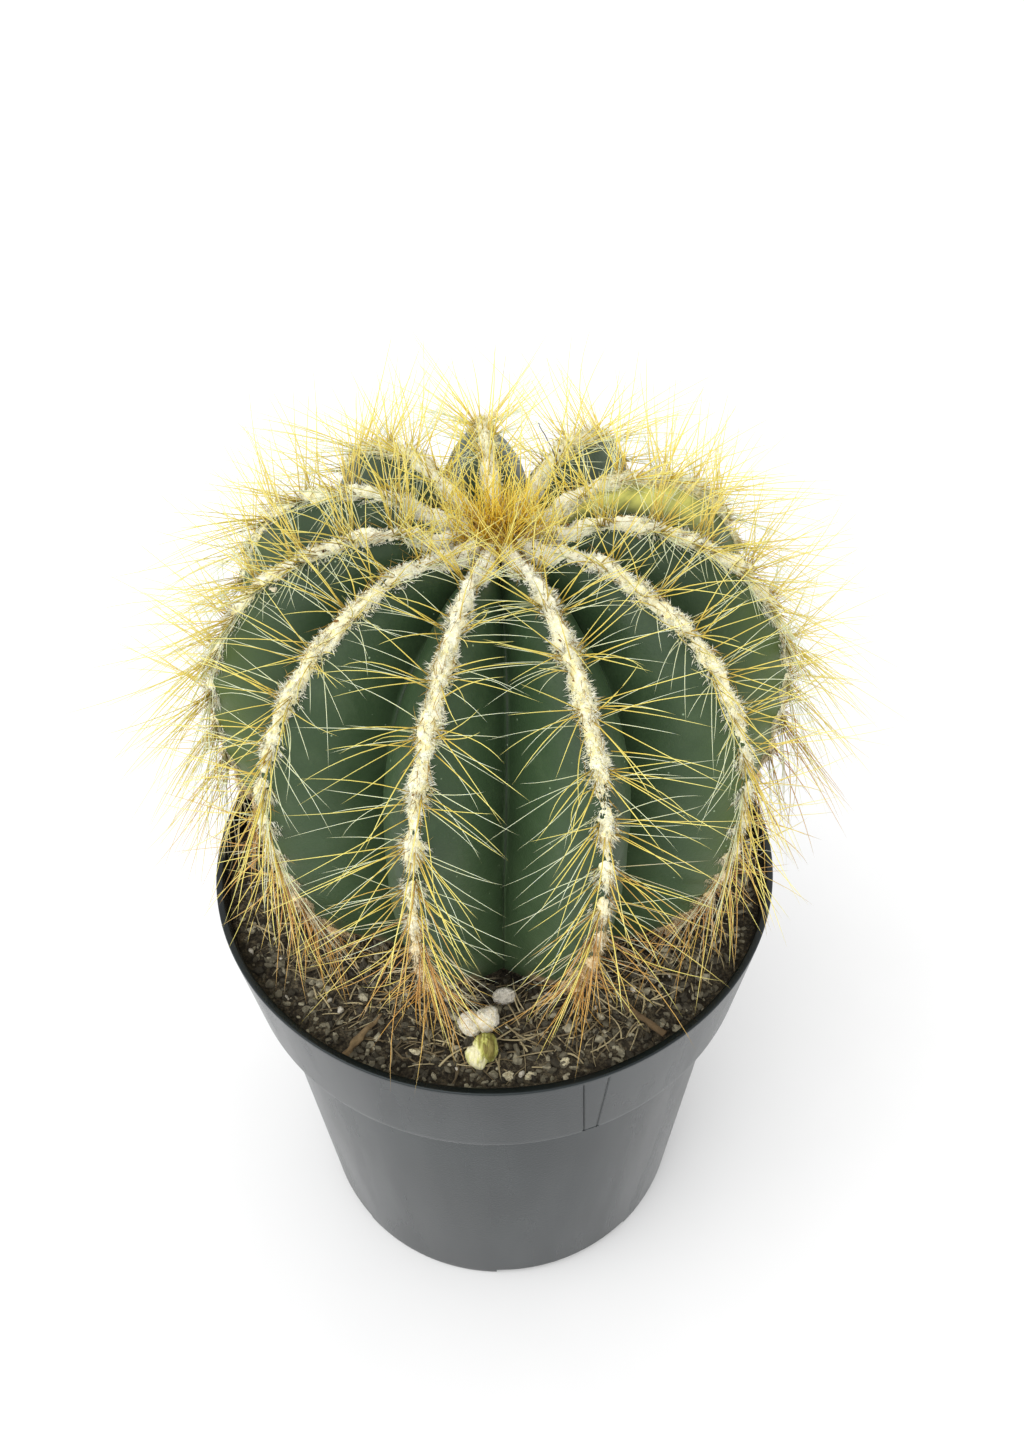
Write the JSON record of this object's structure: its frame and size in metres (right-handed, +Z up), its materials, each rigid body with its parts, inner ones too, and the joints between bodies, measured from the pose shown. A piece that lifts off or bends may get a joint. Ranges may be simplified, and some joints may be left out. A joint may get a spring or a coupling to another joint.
{
  "type": "potted cactus",
  "caption": "Round ribbed cactus with golden spines and woolly crests, growing in a round dark plastic nursery pot with a stepped collar.",
  "frame": {"origin": "middle of the circle that the pot's feet stand on, at the surface the pot rests on", "axes": "+Z up along the pot's axis, -Y towards the front of the plant as pictured, +X to its right"},
  "size_m": [0.1208, 0.1212, 0.1883],
  "materials": {
    "pot_plastic": "satin",
    "potting_mix": "matte",
    "cactus_skin": "satin",
    "golden_spines": "satin",
    "crown_wool": "matte",
    "perlite": "matte",
    "chip": "matte",
    "bark": "matte"
  },
  "bodies": {
    "root": {"nursery_pot": "pot_plastic", "potting_soil": "potting_mix", "cactus_body": "cactus_skin", "spine_row_01": "golden_spines", "spine_row_02": "golden_spines", "spine_row_03": "golden_spines", "spine_row_04": "golden_spines", "spine_row_05": "golden_spines", "spine_row_06": "golden_spines", "spine_row_07": "golden_spines", "spine_row_08": "golden_spines", "spine_row_09": "golden_spines", "spine_row_10": "golden_spines", "spine_row_11": "golden_spines", "crown_tuft": "crown_wool", "perlite_twin": "perlite", "perlite_grey": "perlite", "perlite_front_1": "perlite", "perlite_front_2": "perlite", "perlite_front_3": "perlite", "perlite_left": "perlite", "perlite_side": "perlite", "perlite_back": "perlite", "perlite_right": "perlite", "pale_chip": "chip", "bark_fibre_1": "bark", "bark_fibre_2": "bark", "bark_fibre_3": "bark", "bark_fibre_4": "bark"}
  },
  "joints": []
}
